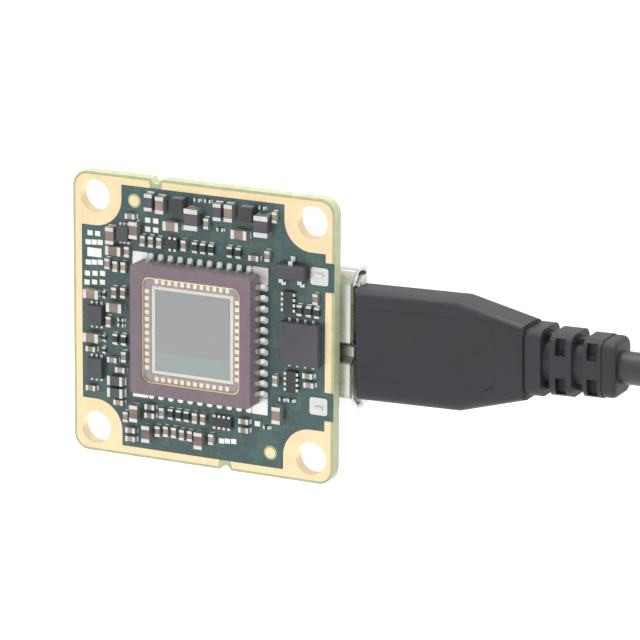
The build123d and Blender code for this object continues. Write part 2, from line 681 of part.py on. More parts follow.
insert = prism(nose_core, -NOSE_IN + NOSE_WALL, body_x)
for z, width in (WIDE_TONGUE, NARROW_TONGUE):
    cavity = Rectangle(TONGUE_T + 2 * CONTACT_T + 2 * TONGUE_GAP, width + 2 * TONGUE_GAP)
    insert -= prism(Pos(0, z) * cavity, -NOSE_IN, -TONGUE_SHORT + 2 * TONGUE_GAP)
insert += prism(Rectangle(SHANK_T, SHANK_H), body_x, body_x + SHANK_L)
save("plug_insulator", plug_at * insert)

overmold_side = Polygon(
    (body_x, -OVERMOLD_H / 2), (body_x, OVERMOLD_H / 2), (body_x + OVERMOLD_KINK, OVERMOLD_H / 2),
    (body_x + OVERMOLD_L, OVERMOLD_END_H / 2), (body_x + OVERMOLD_L, -OVERMOLD_END_H / 2),
    (body_x + OVERMOLD_KINK, -OVERMOLD_H / 2),
    align=None,
)
overmold = slab(overmold_side, -OVERMOLD_T / 2, OVERMOLD_T / 2)
overmold = fillet(overmold.faces().sort_by(Axis.Y)[0].edges(), OVERMOLD_FRONT_R)
long_back = [e for e in overmold.faces().sort_by(Axis.Y)[-1].edges() if abs(e.tangent_at(0.5).X) > 0.5]
overmold = fillet(long_back, OVERMOLD_BACK_R)


def rounded(height, thickness):
    return RectangleRounded(thickness, height, RELIEF_R)


root = body_x + OVERMOLD_L
relief = prism(rounded(RELIEF_COLLAR[1], RELIEF_COLLAR[2]), root, root + RELIEF_COLLAR[0])
relief += prism(Circle(RELIEF_CORE_D / 2), root, root + RELIEF_END_X)
rib_from = root + RELIEF_COLLAR[0]
for start, length, height, thickness in RELIEF_RINGS:
    block = prism(rounded(height, thickness), root + start, root + start + length)
    for up in (-1, 1):
        for face in (-1, 1):
            block -= Pos(
                root + start + length / 2,
                face * (thickness / 2),
                up * (height / 2 - WINDOW_RIM - WINDOW_H / 2),
            ) * Box(WINDOW_L, 2 * WINDOW_DEPTH, WINDOW_H)
    relief += block
    for up in (-1, 1):
        relief += Pos((rib_from + root + start) / 2, 0, up * (height / 2 - 0.75)) * Box(
            root + start - rib_from, RELIEF_RIB_W, 0.9
        )
    rib_from = root + start + length
start, length, height, thickness = RELIEF_END
for up in (-1, 1):
    relief += Pos((rib_from + root + start) / 2, 0, up * (height / 2 - 0.75)) * Box(
        root + start - rib_from, RELIEF_RIB_W, 0.9
    )
end_ring = prism(rounded(height, thickness), root + start, root + start + length)
end_ring = fillet(end_ring.faces().sort_by(Axis.X)[-1].edges(), 0.5)
relief += end_ring

panel_z = PANEL_RISE
outline = RectangleRounded(PANEL_L + 2 * PANEL_R, PANEL_H, PANEL_R)
outline = Pos(body_x + PANEL_L / 2 - PANEL_R, panel_z) * outline
recess = slab(outline, -OVERMOLD_T / 2 - 1, -OVERMOLD_T / 2 + PANEL_DEPTH)
panel_foot = panel_z - PANEL_H / 2
ledge = Polygon(
    (-OVERMOLD_T / 2 - 0.01, panel_foot - PANEL_LEDGE), (PANEL_DEPTH - OVERMOLD_T / 2, panel_foot),
    (-OVERMOLD_T / 2 - 0.01, panel_foot),
    align=None,
)
recess += prism(ledge, body_x - 0.1, body_x + PANEL_L - PANEL_R)
overmold = overmold - recess + relief
overmold -= prism(Rectangle(SHANK_T, SHANK_H), body_x - 0.1, body_x + SHANK_L)
save("plug_overmold", plug_at * overmold)

nose_ways = [z + (k - (count - 1) / 2) * CONTACT_PITCH for z, count in TONGUES for k in range(count)]
spring_y = TONGUE_T / 2 + TONGUE_GAP
springs = [
    brick(-NOSE_IN / 2 - 0.4, z, NOSE_IN * 0.5, CONTACT_W, spring_y, spring_y + CONTACT_T) for z in nose_ways
]
save("plug_contacts", [plug_at * s for s in springs])

# Cable: out of the strain relief, down in a wide bend, and into a tied coil that hangs from it
exit_point = (plug_at * Pos(root + RELIEF_END_X, 0, 0)).position
exit_dir = Vector(math.cos(math.radians(PLUG_TILT)), 0, math.sin(math.radians(PLUG_TILT)))


def tube(points):
    """A round cable along straight runs joined by arcs as large as the runs allow."""
    points = [Vector(*p) for p in points]
    radii = []
    for before, here, after in zip(points, points[1:], points[2:]):
        turn = (here - before).get_angle(after - here)
        shorter = min((here - before).length, (after - here).length)
        radii.append(0.45 * shorter / math.tan(math.radians(turn / 2)))
    print("bend radii", [round(r, 1) for r in radii])
    path = FilletPolyline(*points, radius=radii)
    made = sweep(Plane(origin=path @ 0, z_dir=path % 0) * Circle(CABLE_D / 2), path=path)
    straight = math.pi * CABLE_D**2 / 4 * path.length
    print("tube volume", round(made.volume, 1), "section x length", round(straight, 1))
    return made


coil_y = exit_point.Y + COIL_LAYER
coil_outer = COIL_R + COIL_LAYER + CABLE_D / 2 + COIL_SLACK
coil_inner = COIL_R - COIL_LAYER - CABLE_D / 2 - COIL_SLACK
coil_axis = Axis((COIL_X, 0, COIL_Z), (0, 1, 0))
bundle = coil_outer - coil_inner
across = Plane.XY.offset(COIL_Z) * Pos(COIL_X + COIL_R, coil_y)
section = across * RectangleRounded(bundle, bundle, COIL_EDGE_R)
coil = revolve(section, axis=coil_axis, revolution_arc=360)
save("cable_coil", coil)

lead_x = COIL_X - COIL_R
LEAD = (
    (exit_point.X, exit_point.Y, exit_point.Z),
    (exit_point.X + 8.5 * exit_dir.X, exit_point.Y, exit_point.Z + 8.5 * exit_dir.Z),
    (lead_x - 5.2, exit_point.Y, -3.2),
    (lead_x - 0.3, exit_point.Y, -12.2),
    (lead_x, exit_point.Y, -24.0),
)
lead = tube(LEAD) - coil
save("cable_lead", lead.solids().sort_by(SortBy.VOLUME)[-1])

tail_y = coil_y + COIL_LAYER
tail_points = [(COIL_X + x, tail_y, COIL_Z + z) for x, z in TAIL_POINTS]
tail = tube(tail_points) - coil
save("cable_tail", tail.solids().sort_by(SortBy.VOLUME)[-1])

wrap = bundle + 2 * TIE_T
wrap_face = across * (
    RectangleRounded(wrap, wrap, COIL_EDGE_R + TIE_T) - RectangleRounded(bundle, bundle, COIL_EDGE_R)
)
tie = revolve(wrap_face, axis=coil_axis, revolution_arc=TIE_ARC)
save("coil_tie", Pos(COIL_X, 0, COIL_Z) * Rot(0, -TIE_AT, 0) * Pos(-COIL_X, 0, -COIL_Z) * tie)

# Host plug: hangs below the coil on the cable's tail
end = Vector(*tail_points[-1])
before = Vector(*tail_points[-2])
hang = (end - before).normalized()
host_at = Plane(origin=end, x_dir=(1, 0, -hang.X / hang.Z), z_dir=hang).location
sleeve = loft(
    [
        Circle(CABLE_D / 2 + 0.5).face(),
        Plane.XY.offset(HOST_RELIEF_L) * Circle(HOST_RELIEF_D / 2).face(),
    ]
)
grip_z = HOST_RELIEF_L + HOST_OVERMOLD[2] / 2
grip = fillet((Pos(0, 0, grip_z) * Box(*HOST_OVERMOLD)).edges(), HOST_OVERMOLD_R)
shank_z = HOST_RELIEF_L + HOST_OVERMOLD[2] - HOST_SHANK[2] / 2
shank = Pos(0, 0, shank_z) * Box(*HOST_SHANK)
save("host_plug_overmold", host_at * (sleeve + grip - shank))
face_z = HOST_RELIEF_L + HOST_OVERMOLD[2]
shell_outline = RectangleRounded(HOST_SHELL[0], HOST_SHELL[1], HOST_SHELL_R)
shell_bore = offset(shell_outline, -HOST_SHELL_WALL)
host_shell = extrude(Plane.XY.offset(face_z) * (shell_outline - shell_bore), amount=HOST_SHELL[2])
latch = [
    Pos(i * 2.6, j * HOST_SHELL[1] / 2, face_z + 8.0) * Box(2.3, 2.5 * HOST_SHELL_WALL, 2.3)
    for i in (-1, 1) for j in (-1, 1)
]
save("host_plug_shell", host_at * (host_shell - latch))
bore_h = HOST_SHELL[1] - 2 * HOST_SHELL_WALL
lower = shell_bore & Pos(0, (HOST_BLOCK_T - bore_h) / 2) * Rectangle(HOST_SHELL[0], HOST_BLOCK_T)
tongue = extrude(Plane.XY.offset(face_z) * lower, amount=HOST_SHELL[2] - 0.6)
save("host_plug_insulator", host_at * (tongue + shank))
strip_y = HOST_BLOCK_T + (HOST_CONTACT[1] - bore_h) / 2
strip_z = face_z + HOST_SHELL[2] - 1.6 - HOST_CONTACT[2] / 2
host_strips = [
    Pos((k - 1.5) * HOST_CONTACT_PITCH, strip_y, strip_z) * Box(*HOST_CONTACT) for k in range(4)
]
save("host_plug_contacts", [host_at * s for s in host_strips])


# Back of the board: processor and interface chips on solder balls, and what serves them
def grid_array(at, size):
    """A chip on a grid of solder balls: its body and its balls."""
    x, z = at
    body = softened(rear(x, z, size, BACK + BALL_H))
    ball = Pos(x, 0, z) * slab(Circle(BALL_D / 2), BACK, BACK + BALL_H)
    steps = [(k - (BALLS - 1) / 2) * BALL_PITCH for k in range(BALLS)]
    balls = [
        Pos(i, 0, j) * ball for i in steps for j in steps if max(abs(i), abs(j)) > steps[-1] - 0.01
    ]
    return body, balls


processor, processor_balls = grid_array(PROCESSOR_AT, PROCESSOR)
bridge, bridge_balls = grid_array(BRIDGE_AT, BRIDGE)
save("image_processor", processor)
save("usb_controller", bridge)
save("solder_balls", processor_balls + bridge_balls)
save("flash_memory", softened(rear(*FLASH_AT, FLASH)))
save("regulators", [softened(rear(x, z, REGULATOR)) for x, z in REGULATORS])
rear_leads = leads(*FLASH_AT, FLASH, 4, FLASH_PITCH, seat=BACK, side=1)
for x, z in REGULATORS:
    rear_leads += leads(x, z, REGULATOR, 4, IC_PITCH * 1.3, seat=BACK, side=1)
save("rear_chip_leads", rear_leads)

can = rear(*OSCILLATOR_AT, OSCILLATOR)
save("oscillator", fillet(can.edges().filter_by(Axis.Y), 0.35))

socket = rear(*SOCKET_AT, SOCKET)
socket -= rear(SOCKET_AT[0], SOCKET_AT[1], SOCKET_SLOT, BACK + SOCKET[2] - SOCKET_SLOT[2])
save("io_socket", socket)
pins = []
for k in range(SOCKET_WAYS):
    x = SOCKET_AT[0] + (k - (SOCKET_WAYS - 1) / 2) * SOCKET_PITCH
    out = SOCKET_AT[1] + (SOCKET[1] + 0.6) / 2
    pins.append(rear(x, out, (0.3, 0.6, 0.15)))
save("io_socket_pins", pins)

rear_ends = chips(
    "rear_capacitors",
    [(CHIP_0603, True, REAR_CAPS_UP), (CHIP_0603, False, REAR_CAPS_ACROSS)], BACK, 1,
)
rear_ends += chips("rear_resistors", [(RESISTOR_0402, True, REAR_RESISTORS_UP)], BACK, 1)
save("rear_chip_ends", rear_ends)
save("chip_solder", solder)
save("status_led", rear(*LED_AT, LED))
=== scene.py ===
import bpy
import bmesh
import math
import random
from mathutils import Matrix, Vector


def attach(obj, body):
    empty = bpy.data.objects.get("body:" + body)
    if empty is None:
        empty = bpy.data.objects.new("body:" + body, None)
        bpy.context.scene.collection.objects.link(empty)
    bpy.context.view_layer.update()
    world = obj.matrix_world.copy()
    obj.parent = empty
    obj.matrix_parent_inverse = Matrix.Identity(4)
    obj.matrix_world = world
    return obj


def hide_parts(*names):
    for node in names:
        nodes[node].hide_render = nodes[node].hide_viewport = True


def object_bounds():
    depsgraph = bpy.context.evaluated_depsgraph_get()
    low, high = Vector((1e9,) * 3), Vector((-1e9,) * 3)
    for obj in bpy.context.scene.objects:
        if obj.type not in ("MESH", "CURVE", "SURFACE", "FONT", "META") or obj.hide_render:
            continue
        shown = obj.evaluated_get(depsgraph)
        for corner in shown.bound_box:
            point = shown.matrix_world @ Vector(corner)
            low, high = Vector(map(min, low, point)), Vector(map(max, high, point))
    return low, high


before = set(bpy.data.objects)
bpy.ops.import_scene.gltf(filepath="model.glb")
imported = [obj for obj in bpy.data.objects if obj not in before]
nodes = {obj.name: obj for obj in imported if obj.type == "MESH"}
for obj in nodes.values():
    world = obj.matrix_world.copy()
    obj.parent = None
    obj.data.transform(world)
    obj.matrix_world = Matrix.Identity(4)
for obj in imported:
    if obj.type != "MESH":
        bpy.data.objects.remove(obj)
cad_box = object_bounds()
scene = bpy.context.scene
MM = 0.001

# Camera: a long lens at the photograph's distance, looking at the board from its
# connector side and a little above, with the cable leaving the picture on the right.
TURN = math.radians(25.51)
RAISE = math.radians(15.31)
ROLL = math.radians(0.449)
DISTANCE = 404.0 * MM
SHIFT = (10.869 * MM, 0.619 * MM)
FOCAL = 4371.5
PICTURE_W = 640.0
FILM_W = 36.0
back = Vector((math.sin(TURN) * math.cos(RAISE), -math.cos(TURN) * math.cos(RAISE), math.sin(RAISE)))
level = Vector((math.cos(TURN), math.sin(TURN), 0.0))
rise = back.cross(level)
right = level * math.cos(ROLL) + rise * math.sin(ROLL)
up = rise * math.cos(ROLL) - level * math.sin(ROLL)
spot = back * DISTANCE + right * SHIFT[0] + up * SHIFT[1]
camera_data = bpy.data.cameras.new("camera")
camera_data.sensor_width = FILM_W
camera_data.lens = FOCAL / PICTURE_W * FILM_W
camera_data.clip_start = 0.01
camera_data.clip_end = 20.0
camera = bpy.data.objects.new("camera", camera_data)
camera.matrix_world = Matrix(
    (
        (right.x, up.x, back.x, spot.x),
        (right.y, up.y, back.y, spot.y),
        (right.z, up.z, back.z, spot.z),
        (0.0, 0.0, 0.0, 1.0),
    )
)
scene.collection.objects.link(camera)
scene.camera = camera

# Studio: a white world, a broad soft box overhead and a weak one at each front side, as
# for a product picture on white.
world = bpy.data.worlds.new("studio")
scene.world = world
world.use_nodes = True
world.node_tree.nodes["Background"].inputs["Color"].default_value = (1.0, 1.0, 1.0, 1.0)
world.node_tree.nodes["Background"].inputs["Strength"].default_value = 1.0
scene.view_settings.view_transform = "Standard"


def soft_box(name, place, aim, size, power):
    """An area light at a place, turned to what it lights."""
    data = bpy.data.lights.new(name, "AREA")
    data.shape = "SQUARE"
    data.size = size
    data.energy = power
    lamp = bpy.data.objects.new(name, data)
    lamp.location = place
    lamp.rotation_euler = (Vector(aim) - Vector(place)).to_track_quat("-Z", "Y").to_euler()
    scene.collection.objects.link(lamp)


soft_box("overhead_box", (0.04, 0.04, 0.55), (0.02, 0.0, 0.0), 0.40, 3.0)
soft_box("left_box", (-0.45, -0.45, 0.15), (0.0, 0.0, 0.0), 0.30, 0.2)
soft_box("right_box", (0.60, -0.25, 0.12), (0.02, 0.0, 0.0), 0.25, 0.15)


def link(name, mesh, *materials):
    """Puts a mesh in the scene as a piece with its materials."""
    piece = bpy.data.objects.new(name, mesh)
    for one in materials:
        piece.data.materials.append(one)
    scene.collection.objects.link(piece)
    return piece


def baked(name, shape):
    """The mesh data of a finished bmesh."""
    data = bpy.data.meshes.new(name)
    shape.to_mesh(data)
    shape.free()
    return data


def finish(
    name, colour, rough, metal=0.0, vary=0.08, patch=400.0, bump=0.1, grain=6000.0, coat=0.0, specular=0.5
):
    """A surface with a slow drift of tone, a fine grain and a roughness that follows the drift."""
    made = bpy.data.materials.new(name)
    made.use_nodes = True
    made.diffuse_color = (*colour, 1.0)
    tree = made.node_tree
    shader = tree.nodes["Principled BSDF"]
    shader.inputs["Metallic"].default_value = metal
    shader.inputs["Coat Weight"].default_value = coat
    shader.inputs["Specular IOR Level"].default_value = specular
    where = tree.nodes.new("ShaderNodeTexCoord")
    drift = tree.nodes.new("ShaderNodeTexNoise")
    drift.inputs["Scale"].default_value = patch
    drift.inputs["Detail"].default_value = 3.0
    tree.links.new(where.outputs["Object"], drift.inputs["Vector"])
    tone = tree.nodes.new("ShaderNodeValToRGB")
    tone.name = "tone"
    tone.color_ramp.elements[0].position = 0.3
    tone.color_ramp.elements[1].position = 0.7
    tone.color_ramp.elements[0].color = (*[c * (1 - vary) for c in colour], 1.0)
    tone.color_ramp.elements[1].color = (*[min(1.0, c * (1 + vary)) for c in colour], 1.0)
    tree.links.new(drift.outputs["Fac"], tone.inputs["Fac"])
    tree.links.new(tone.outputs["Color"], shader.inputs["Base Color"])
    polish = tree.nodes.new("ShaderNodeMapRange")
    polish.inputs["From Min"].default_value = 0.3
    polish.inputs["From Max"].default_value = 0.7
    polish.inputs["To Min"].default_value = max(0.02, rough - 0.06)
    polish.inputs["To Max"].default_value = min(1.0, rough + 0.06)
    tree.links.new(drift.outputs["Fac"], polish.inputs["Value"])
    tree.links.new(polish.outputs["Result"], shader.inputs["Roughness"])
    fine = tree.nodes.new("ShaderNodeTexNoise")
    fine.inputs["Scale"].default_value = grain
    fine.inputs["Detail"].default_value = 2.0
    tree.links.new(where.outputs["Object"], fine.inputs["Vector"])
    relief = tree.nodes.new("ShaderNodeBump")
    relief.inputs["Strength"].default_value = bump
    relief.inputs["Distance"].default_value = 0.03 * MM
    tree.links.new(fine.outputs["Fac"], relief.inputs["Height"])
    tree.links.new(relief.outputs["Normal"], shader.inputs["Normal"])
    return made


def object_place(material):
    """The socket with the place on the object, in metres."""
    return material.node_tree.nodes["Texture Coordinate"].outputs["Object"]


def along(material, axis, operation, limit, width=0.0):
    """The socket that is 1 where the place along an axis is below, or within a width of, a limit."""
    tree = material.node_tree
    split = tree.nodes.new("ShaderNodeSeparateXYZ")
    tree.links.new(object_place(material), split.inputs["Vector"])
    test = tree.nodes.new("ShaderNodeMath")
    test.operation = operation
    test.inputs[1].default_value = limit
    test.inputs[2].default_value = width
    tree.links.new(split.outputs[axis], test.inputs[0])
    return test.outputs["Value"]


def second_tone(material, colour, share):
    """Lays a second colour over the finish's own tone, by the share that a socket gives."""
    tree = material.node_tree
    mix = tree.nodes.new("ShaderNodeMix")
    mix.data_type = "RGBA"
    mix.inputs["B"].default_value = (*colour, 1.0)
    tree.links.new(share, mix.inputs["Factor"])
    tree.links.new(tree.nodes["tone"].outputs["Color"], mix.inputs["A"])
    tree.links.new(mix.outputs["Result"], tree.nodes["Principled BSDF"].inputs["Base Color"])


def dress(material, *names):
    """Gives CAD nodes their finish."""
    for name in names:
        nodes[name].data.materials.clear()
        nodes[name].data.materials.append(material)


def smooth_shell(node, material, angle=35.0):
    """The CAD piece with its facets joined, so that its moulded curves shade smoothly."""
    mesh = bmesh.new()
    mesh.from_mesh(nodes[node].data)
    bmesh.ops.remove_doubles(mesh, verts=mesh.verts, dist=1e-6)
    limit = math.radians(angle)
    for edge in mesh.edges:
        edge.smooth = len(edge.link_faces) == 2 and edge.calc_face_angle(0.0) < limit
    for face in mesh.faces:
        face.smooth = True
        face.material_index = 0
    piece = link("smooth_" + node, baked("smooth_" + node, mesh), material)
    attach(piece, "root")
    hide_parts(node)


# Floor: a white sheet under the hanging cable that the studio light washes out. It belongs
# to the studio and isn't a piece.
FLOOR_DROP = 0.02
sheet = bmesh.new()
bmesh.ops.create_grid(sheet, x_segments=1, y_segments=1, size=4.0)
bmesh.ops.translate(sheet, verts=sheet.verts, vec=(0.0, 0.0, cad_box[0][2] - FLOOR_DROP))
white = finish("pale_floor", (1.0, 1.0, 1.0), 0.9, vary=0.0, bump=0.0)
link("floor", baked("floor", sheet), white)

# Cable: 3 mm round lead in black vinyl, 1 m long. It leaves the strain relief level, bends
# down and is wound into a coil of eight turns, below which the host plug hangs.
CABLE_D = 3.0
CABLE_Y = 2.505
LAYER = 3.1
EXIT = (40.791, CABLE_Y, 0.788)
LEAD = (
    EXIT,
    (49.288, CABLE_Y, 1.011),
    (57.5, CABLE_Y, -3.2),
    (62.4, CABLE_Y, -12.2),
    (62.7, CABLE_Y, -24.0),
)
COIL = (80.5, -32.0)
TURNS = (
    (17.8, 0), (14.7, 0), (14.7, 1), (14.7, 2), (17.8, 2), (17.8, 1), (20.9, 1), (20.9, 2),
)
PER_TURN = 14
CROSSING = 3
ROUNDING = 1.017
TAIL = ((59.6, 8.705, -41.0), (59.9, 8.705, -53.5), (60.9, 8.705, -65.0))
route = list(LEAD)
for turn, (radius, layer) in enumerate(TURNS):
    last = turn == len(TURNS) - 1
    later = TURNS[turn if last else turn + 1]
    for step in range(1, PER_TURN if last else PER_TURN + 1):
        part = max(0.0, (step - PER_TURN + CROSSING) / CROSSING)
        wide = (radius + (later[0] - radius) * part) * ROUNDING
        depth = CABLE_Y + LAYER * (layer + (later[1] - layer) * part)
        angle = math.pi + 2 * math.pi * step / PER_TURN
        route.append((COIL[0] + wide * math.cos(angle), depth, COIL[1] + wide * math.sin(angle)))
route += list(TAIL)
cable_data = bpy.data.curves.new("cable", "CURVE")
cable_data.dimensions = "3D"
cable_data.bevel_depth = CABLE_D / 2 * MM
cable_data.bevel_resolution = 6
cable_data.resolution_u = 6
cable_data.use_fill_caps = True
line = cable_data.splines.new("NURBS")
line.points.add(len(route) - 1)
for point, place in zip(line.points, route):
    point.co = (*[c * MM for c in place], 1.0)
line.order_u = 3
line.use_endpoint_u = True
vinyl = finish("cable_vinyl", (0.030, 0.031, 0.035), 0.42, vary=0.12, patch=250.0, bump=0.12, grain=5000.0)
cable = bpy.data.objects.new("cable", cable_data)
cable_data.materials.append(vinyl)
scene.collection.objects.link(cable)
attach(cable, "root")
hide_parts("cable_lead", "cable_coil", "cable_tail")

# Tie: one strap of woven black hook-and-loop tape with a raised pile, closed round the
# coil's eight turns on the side away from the board.
pile = finish("tie_pile", (0.022, 0.022, 0.024), 0.95, vary=0.35, patch=3500.0, bump=0.9, grain=9000.0)
pile.node_tree.nodes["Principled BSDF"].inputs["Sheen Weight"].default_value = 0.6
smooth_shell("coil_tie", pile)

# Host plug: moulded black grip on the cable's end, folded steel shell held in it, and a
# blue tongue with gold contacts inside the shell.
grip_vinyl = finish("grip_vinyl", (0.026, 0.027, 0.031), 0.48, vary=0.1, bump=0.35, grain=4200.0)
steel = finish("folded_steel", (0.62, 0.62, 0.61), 0.28, metal=1.0, vary=0.05, bump=0.05, grain=2500.0)
smooth_shell("host_plug_overmold", grip_vinyl)
smooth_shell("host_plug_shell", steel, 25.0)
dress(finish("host_tongue", (0.02, 0.09, 0.42), 0.4, bump=0.08), "host_plug_insulator")
contact_gold = finish("contact_gold", (0.90, 0.62, 0.25), 0.22, metal=1.0, vary=0.05, bump=0.03)
dress(contact_gold, "host_plug_contacts")

# Circuit board: glass-filled laminate, held by four screws through its corners. Only its
# sawn edges and a narrow strip outside the gold ring show, pale olive with faint layers.
laminate = finish("laminate", (0.46, 0.50, 0.30), 0.5, vary=0.12, patch=900.0, bump=0.2, grain=7000.0)
tree = laminate.node_tree
layers = tree.nodes.new("ShaderNodeTexWave")
layers.bands_direction = "Y"
layers.inputs["Scale"].default_value = 900.0
layers.inputs["Distortion"].default_value = 0.6
layers.inputs["Detail"].default_value = 2.0
tree.links.new(object_place(laminate), layers.inputs["Vector"])
shade = tree.nodes.new("ShaderNodeMix")
shade.data_type = "RGBA"
shade.blend_type = "MULTIPLY"
shade.inputs["Factor"].default_value = 0.12
tree.links.new(tree.nodes["tone"].outputs["Color"], shade.inputs["A"])
tree.links.new(layers.outputs["Color"], shade.inputs["B"])
tree.links.new(shade.outputs["Result"], tree.nodes["Principled BSDF"].inputs["Base Color"])
dress(laminate, "circuit_board")

# Ground ring, hole lands, plated hole walls and the two alignment marks: immersion gold
# over copper, bonded to the laminate, soft in its shine and slightly mottled.
gold = finish(
    "immersion_gold", (0.80, 0.65, 0.41), 0.40, metal=0.95, vary=0.05, patch=700.0, bump=0.25, grain=8000.0
)
dress(gold, "front_ground_ring", "rear_ground_ring", "hole_plating", "fiducial_marks")

# Solder mask: glossy dark green film, cured on both faces of the board. Copper tracks and
# pours show through it as slightly lighter, squared-off patches.
mask = finish("solder_mask", (0.026, 0.070, 0.068), 0.34, vary=0.15, patch=300.0, bump=0.08, coat=0.3)
tree = mask.node_tree
cells = tree.nodes.new("ShaderNodeTexVoronoi")
cells.distance = "CHEBYCHEV"
cells.feature = "F2"
cells.inputs["Scale"].default_value = 850.0
cells.inputs["Randomness"].default_value = 0.8
tree.links.new(object_place(mask), cells.inputs["Vector"])
tracks = tree.nodes.new("ShaderNodeValToRGB")
tracks.color_ramp.interpolation = "CONSTANT"
tracks.color_ramp.elements[0].color = (0.0, 0.0, 0.0, 1.0)
tracks.color_ramp.elements[1].position = 0.62
tracks.color_ramp.elements[1].color = (1.0, 1.0, 1.0, 1.0)
tree.links.new(cells.outputs["Distance"], tracks.inputs["Fac"])
second_tone(mask, (0.040, 0.096, 0.082), tracks.outputs["Color"])
dress(mask, "front_solder_mask", "rear_solder_mask")

# Pads, lands, chip ends, leads and solder fillets: tin and reflowed solder, bright and a
# little uneven, which hold every part to the board.
solder = finish(
    "reflowed_solder", (0.62, 0.62, 0.61), 0.33, metal=0.9, vary=0.07, patch=1500.0, bump=0.5, grain=5000.0
)
pad_tin = finish(
    "pad_tin", (0.78, 0.78, 0.76), 0.42, metal=0.8, vary=0.05, patch=1500.0, bump=0.35, grain=5000.0
)
dress(pad_tin, "test_pads", "sensor_lands")
dress(
    solder, "chip_solder", "capacitor_ends", "resistor_ends", "power_chip_ends", "front_chip_leads",
    "anchor_solder", "rear_chip_ends", "rear_chip_leads", "solder_balls", "sensor_terminals",
)

# Image sensor package: mauve-grey pressed ceramic, soldered by the terminals in its side
# slots. Gold bond pads stand on its inner ledge, and a pale oxide frame rims the chip.
package_ceramic = finish(
    "package_ceramic", (0.175, 0.130, 0.155), 0.55, vary=0.1, patch=900.0, bump=0.35, grain=9000.0
)
dress(package_ceramic, "sensor_package")
dress(gold, "sensor_seal")
ledge_gold = finish("bond_gold", (0.95, 0.80, 0.52), 0.35, metal=0.8, vary=0.05, bump=0.2)
dress(ledge_gold, "sensor_bond_pads")
dress(finish("chip_edge_oxide", (0.72, 0.68, 0.55), 0.5, vary=0.06, bump=0.1), "die_frame")

# Sensor chip: polished silicon under its micro lenses, glued in the package's pit. The
# lower fifth has a greener coating that ends in a straight line.
COATING_TOP = -2.55 * MM
silicon = finish("sensor_silicon", (0.125, 0.125, 0.130), 0.4, vary=0.02, patch=250.0, bump=0.0)
second_tone(silicon, (0.118, 0.190, 0.165), along(silicon, "Z", "LESS_THAN", COATING_TOP))
dress(silicon, "sensor_die")

# Bond wires: gold wire finer than a hair, welded from the chip's edge to each bond pad in
# a low loop under the window.
SENSOR = (-0.22, -0.44)
WIRE_D = 0.03
WIRES_PER_SIDE = 12
WIRE_PITCH = 0.665
WIRE_SPREAD = 0.97
WIRE_LOOP = ((4.08, -1.6), (4.18, -1.755), (4.4, -1.77), (4.62, -1.745))
wires = bmesh.new()
for side in range(4):
    quarter = Matrix.Rotation(side * math.pi / 2, 4, "Y")
    for k in range(WIRES_PER_SIDE):
        across = (k - (WIRES_PER_SIDE - 1) / 2) * WIRE_PITCH
        for (a_x, a_y), (b_x, b_y) in zip(WIRE_LOOP, WIRE_LOOP[1:]):
            start = Vector((a_x, a_y, across * WIRE_SPREAD))
            end = Vector((b_x, b_y, across))
            run = end - start
            place = Matrix.Translation((start + end) / 2) @ run.to_track_quat("Z", "X").to_matrix().to_4x4()
            bmesh.ops.create_cone(
                wires, cap_ends=True, segments=6, radius1=WIRE_D / 2, radius2=WIRE_D / 2,
                depth=run.length + WIRE_D / 2, matrix=quarter @ place,
            )
bmesh.ops.transform(
    wires, matrix=Matrix.Scale(MM, 4) @ Matrix.Translation((SENSOR[0], 0.0, SENSOR[1])), verts=wires.verts
)
bond_wires = link("bond_wires", baked("bond_wires", wires), contact_gold)
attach(bond_wires, "root")

# Window: thin clear optical glass, coated, with a faint haze. It lies in the package's
# recess and is held by its gold seal.
glass = bpy.data.materials.new("window_glass")
glass.use_nodes = True
pane = glass.node_tree.nodes["Principled BSDF"]
pane.inputs["Base Color"].default_value = (0.97, 0.99, 0.99, 1.0)
pane.inputs["Alpha"].default_value = 0.12
pane.inputs["Specular IOR Level"].default_value = 0.35
smear = glass.node_tree.nodes.new("ShaderNodeTexNoise")
smear.inputs["Scale"].default_value = 300.0
haze = glass.node_tree.nodes.new("ShaderNodeMapRange")
haze.inputs["To Min"].default_value = 0.02
haze.inputs["To Max"].default_value = 0.08
at = glass.node_tree.nodes.new("ShaderNodeTexCoord")
glass.node_tree.links.new(at.outputs["Object"], smear.inputs["Vector"])
glass.node_tree.links.new(smear.outputs["Fac"], haze.inputs["Value"])
glass.node_tree.links.new(haze.outputs["Result"], pane.inputs["Roughness"])
dress(glass, "sensor_glass")

# Chip capacitors: fired ceramic blocks between soldered ends, brown in the larger size and
# paler in the smaller, each with its own tone from its batch.
brown = finish("brown_ceramic", (0.235, 0.175, 0.135), 0.45, vary=0.35, patch=450.0, bump=0.2, grain=7000.0)
dress(brown, "large_capacitors", "rear_capacitors")
buff = finish("buff_ceramic", (0.30, 0.24, 0.19), 0.45, vary=0.35, patch=450.0, bump=0.2, grain=7000.0)
dress(buff, "small_capacitors")

# Resistors and resistor arrays: black printed glaze on a ceramic body, held by the solder
# at their ends.
glaze = finish("black_glaze", (0.030, 0.030, 0.034), 0.35, vary=0.2, patch=500.0, bump=0.1)
dress(glaze, "chip_resistors", "resistor_arrays", "rear_resistors")

# Power chips and inductors: dark purple-grey ceramic and moulded black ferrite, soldered
# along the board's upper edge.
purple = finish("purple_ceramic", (0.075, 0.065, 0.085), 0.4, vary=0.2, patch=450.0, bump=0.15)
dress(purple, "power_chips")
ferrite = finish("moulded_ferrite", (0.035, 0.034, 0.036), 0.5, vary=0.2, patch=900.0, bump=0.5, grain=7000.0)
dress(ferrite, "inductors")

